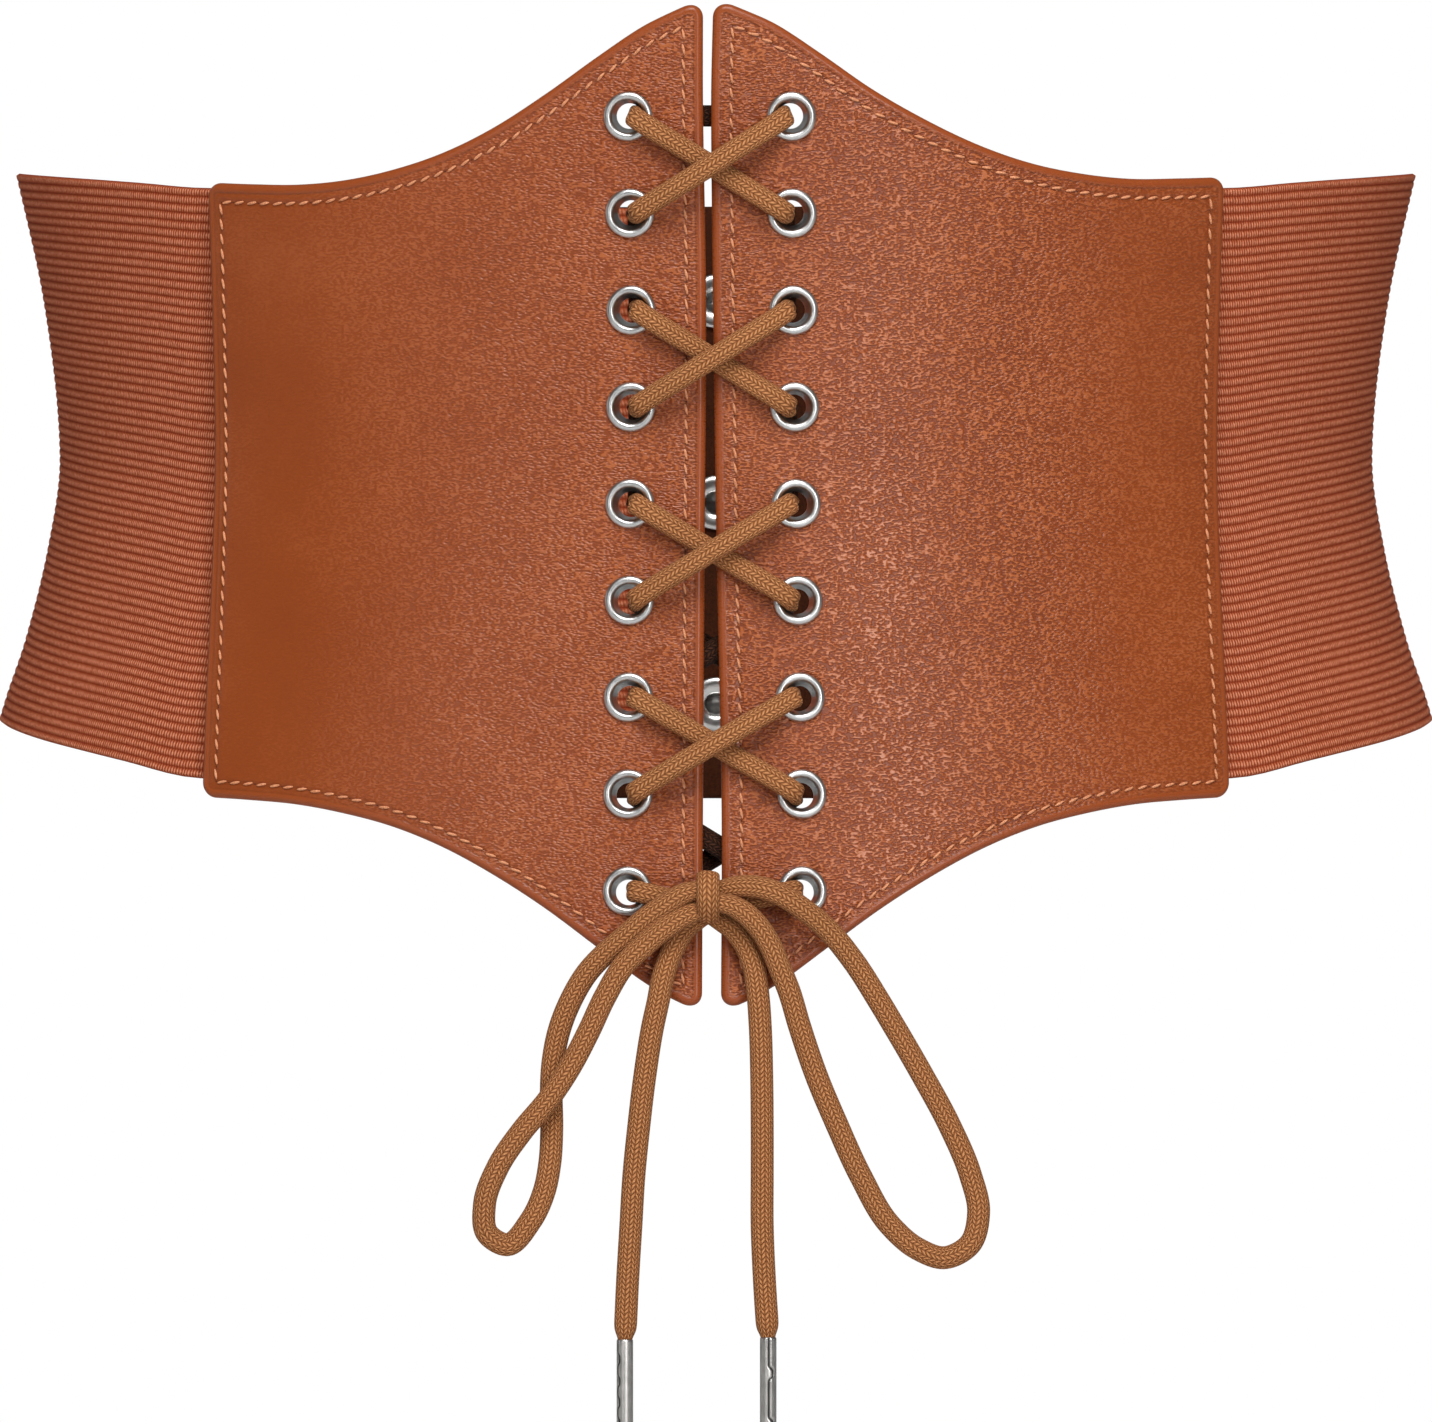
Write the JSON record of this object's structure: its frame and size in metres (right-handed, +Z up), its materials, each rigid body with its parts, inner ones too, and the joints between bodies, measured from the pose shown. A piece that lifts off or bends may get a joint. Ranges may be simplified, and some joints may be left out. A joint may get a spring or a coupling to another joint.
{
  "type": "corset belt",
  "caption": "Wide waist belt with two pointed stiff front panels laced together through metal eyelets and tied in a bow, with ribbed elastic sides and a snap closing at the back.",
  "frame": {"origin": "middle of the waist opening at the waistline, where the waist is narrowest", "axes": "+Z up along the wearer's body, -Y towards the front with the lacing, +X to the right as seen from the front"},
  "size_m": [0.2936, 0.2131, 0.2901],
  "materials": {
    "leather": "tan imitation leather with a fine pebbled grain and a soft sheen",
    "elastic": "ribbed woven elastic, matt",
    "lace": "flat braided cord, matt",
    "eyelet_metal": "satin silver",
    "snap_metal": "satin silver",
    "aglet_metal": "bright silver"
  },
  "bodies": {
    "root": {"panel_left": "leather", "panel_right": "leather", "elastic_left": "elastic", "elastic_right": "elastic", "closure_strip_left": "leather", "closure_strip_right": "leather", "snap_cap_1": "snap_metal", "snap_cap_2": "snap_metal", "snap_cap_3": "snap_metal", "snap_stud_1": "snap_metal", "snap_stud_2": "snap_metal", "snap_stud_3": "snap_metal", "eyelet_left_1": "eyelet_metal", "eyelet_left_2": "eyelet_metal", "eyelet_left_3": "eyelet_metal", "eyelet_left_4": "eyelet_metal", "eyelet_left_5": "eyelet_metal", "eyelet_left_6": "eyelet_metal", "eyelet_left_7": "eyelet_metal", "eyelet_left_8": "eyelet_metal", "eyelet_left_9": "eyelet_metal", "eyelet_right_1": "eyelet_metal", "eyelet_right_2": "eyelet_metal", "eyelet_right_3": "eyelet_metal", "eyelet_right_4": "eyelet_metal", "eyelet_right_5": "eyelet_metal", "eyelet_right_6": "eyelet_metal", "eyelet_right_7": "eyelet_metal", "eyelet_right_8": "eyelet_metal", "eyelet_right_9": "eyelet_metal", "lace_threaded": "lace", "lace_knot": "lace", "lace_loop_left": "lace", "lace_loop_right": "lace", "lace_tail_left": "lace", "lace_tail_right": "lace", "aglet_left": "aglet_metal", "aglet_right": "aglet_metal"}
  },
  "joints": []
}
